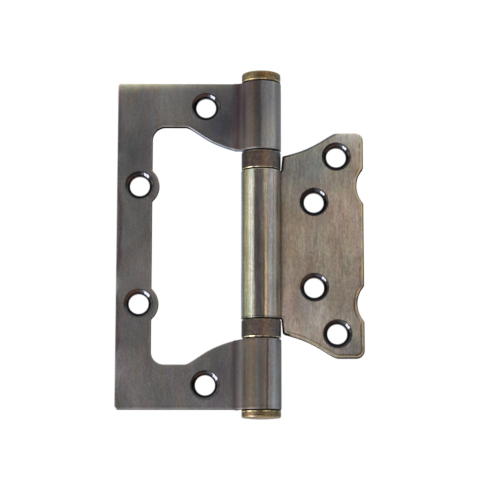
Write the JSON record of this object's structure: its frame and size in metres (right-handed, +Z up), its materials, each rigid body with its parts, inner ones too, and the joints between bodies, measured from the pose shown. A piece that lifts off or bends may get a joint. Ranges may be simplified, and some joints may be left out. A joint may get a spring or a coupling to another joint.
{
  "type": "butterfly hinge",
  "caption": "Non-mortise butterfly hinge opened flat: small door leaf nests in the window of the large frame leaf, sealed ball bearings between the knuckles, button-ended pin.",
  "frame": {"origin": "on the pin axis, at mid height of the barrel", "axes": "+Z up along the pin towards its head; the leaves lie in the XZ plane with the countersunk faces towards -Y; frame leaf towards -X, door leaf towards +X"},
  "size_m": [0.0751, 0.0122, 0.1065],
  "materials": {
    "bronzed_steel": "antique bronze plated steel, brushed along the pin",
    "bronzed_steel_light": "antique bronze plated steel, brushed along the pin",
    "button_brass": "antique bronze plated steel, turned",
    "casing_brass": "antique bronze plated steel, turned",
    "bearing_steel": "ground bearing steel"
  },
  "bodies": {
    "frame": {"frame_leaf": "bronzed_steel", "pin": "button_brass", "bottom_plug": "button_brass", "upper_bearing_upper_race": "bearing_steel", "lower_bearing_lower_race": "bearing_steel", "lower_bearing_casing": "casing_brass"},
    "door": {"door_leaf": "bronzed_steel_light", "upper_bearing_lower_race": "bearing_steel", "upper_bearing_casing": "casing_brass", "lower_bearing_upper_race": "bearing_steel"},
    "upper_balls": {"upper_bearing_balls": "bearing_steel"},
    "lower_balls": {"lower_bearing_balls": "bearing_steel"}
  },
  "joints": [
    {"name": "leaf_swing", "type": "hinge", "parent": "frame", "child": "door", "pos_m": [0, 0, 0], "axis": [0, 0, 1], "range_deg": [-180, 180]},
    {"name": "upper_ball_orbit", "type": "hinge", "parent": "frame", "child": "upper_balls", "pos_m": [0, 0, 0.02577], "axis": [0, 0, 1], "range_deg": [-90, 90]},
    {"name": "lower_ball_orbit", "type": "hinge", "parent": "frame", "child": "lower_balls", "pos_m": [0, 0, -0.02577], "axis": [0, 0, 1], "range_deg": [-90, 90]}
  ],
  "couplings": [
    {"joint": "upper_ball_orbit", "follows": "leaf_swing", "ratio": 0.5},
    {"joint": "lower_ball_orbit", "follows": "leaf_swing", "ratio": 0.5}
  ]
}
